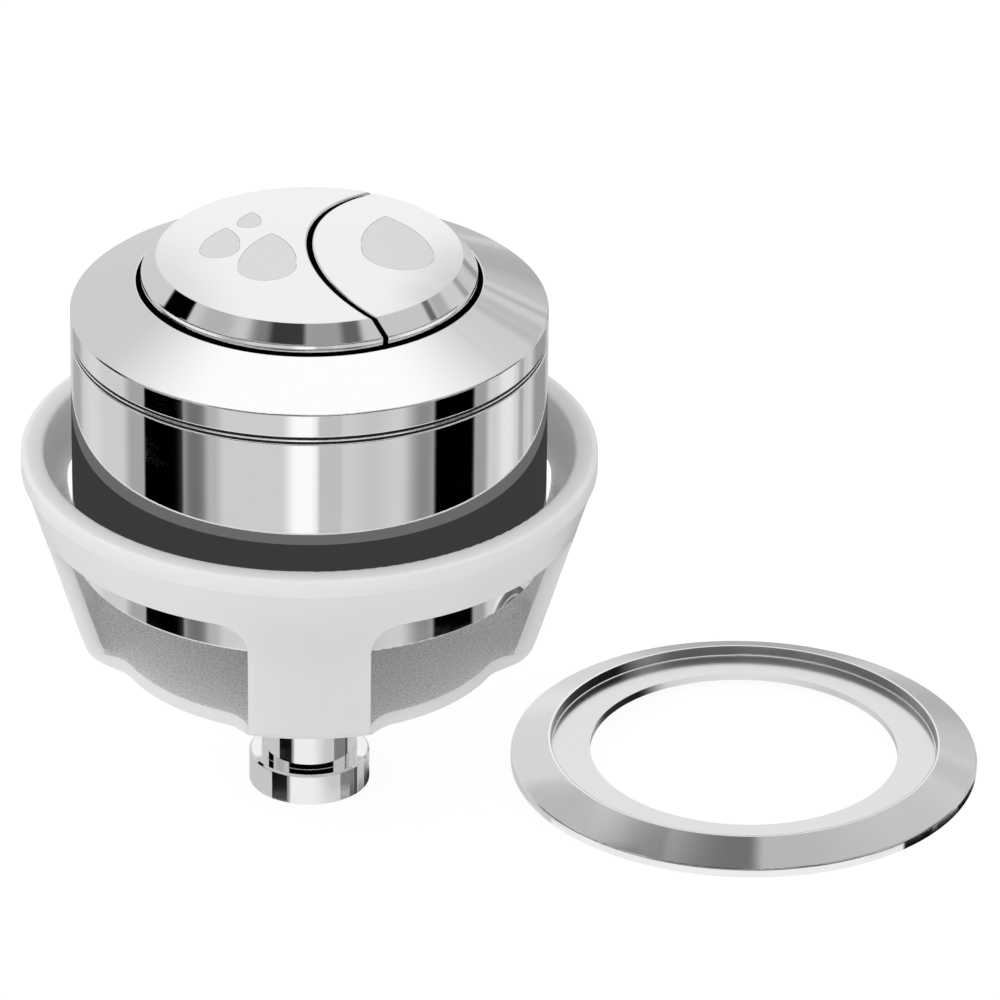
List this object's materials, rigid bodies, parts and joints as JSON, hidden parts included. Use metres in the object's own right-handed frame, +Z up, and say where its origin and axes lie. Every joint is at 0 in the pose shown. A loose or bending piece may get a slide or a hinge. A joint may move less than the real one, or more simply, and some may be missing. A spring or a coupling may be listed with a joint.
{
  "type": "push button cistern actuator",
  "caption": "Round chrome cistern actuator with full and half flush buttons, a white mounting cage, a collared spigot and a loose trim ring.",
  "frame": {"origin": "centre of the spigot's lower end face", "axes": "+Z up along the drum's axis, from the spigot to the buttons; +X towards the half flush button and the trim ring"},
  "size_m": [0.1476, 0.0878, 0.092],
  "materials": {
    "chrome": "polished",
    "cap_chrome": "polished",
    "trim_chrome": "satin",
    "mark_grey": "matt",
    "cage_plastic": "moulded, satin",
    "guide_plastic": "moulded",
    "steel": "bright zinc",
    "rubber": "matt"
  },
  "bodies": {
    "housing": {"bezel_ring": "chrome", "spacer_ring": "chrome", "bezel_gasket": "rubber", "drum": "chrome", "guide_body": "guide_plastic", "guide_screws": "steel", "full_flush_spring": "steel", "half_flush_spring": "steel", "spigot": "chrome", "rod_seal": "rubber", "cage": "cage_plastic", "cage_washer": "steel", "cage_nut": "steel", "support_nut": "steel", "drum_washer": "steel", "drum_nut": "steel", "trim_ring": "trim_chrome"},
    "full_flush": {"full_flush_cap": "cap_chrome", "full_flush_marks": "mark_grey", "full_flush_carrier": "guide_plastic", "full_flush_rod": "guide_plastic"},
    "half_flush": {"half_flush_cap": "cap_chrome", "half_flush_mark": "mark_grey", "half_flush_carrier": "guide_plastic", "half_flush_rod": "steel"}
  },
  "joints": [
    {"name": "full_flush_press", "type": "slide", "parent": "housing", "child": "full_flush", "axis": [0, 0, -1], "range_m": [0, 0.005], "stiffness_N_per_m": 400, "springref_m": -0.004, "deforming": ["full_flush_spring"]},
    {"name": "half_flush_press", "type": "slide", "parent": "housing", "child": "half_flush", "axis": [0, 0, -1], "range_m": [0, 0.005], "stiffness_N_per_m": 400, "springref_m": -0.004, "deforming": ["half_flush_spring"]}
  ]
}
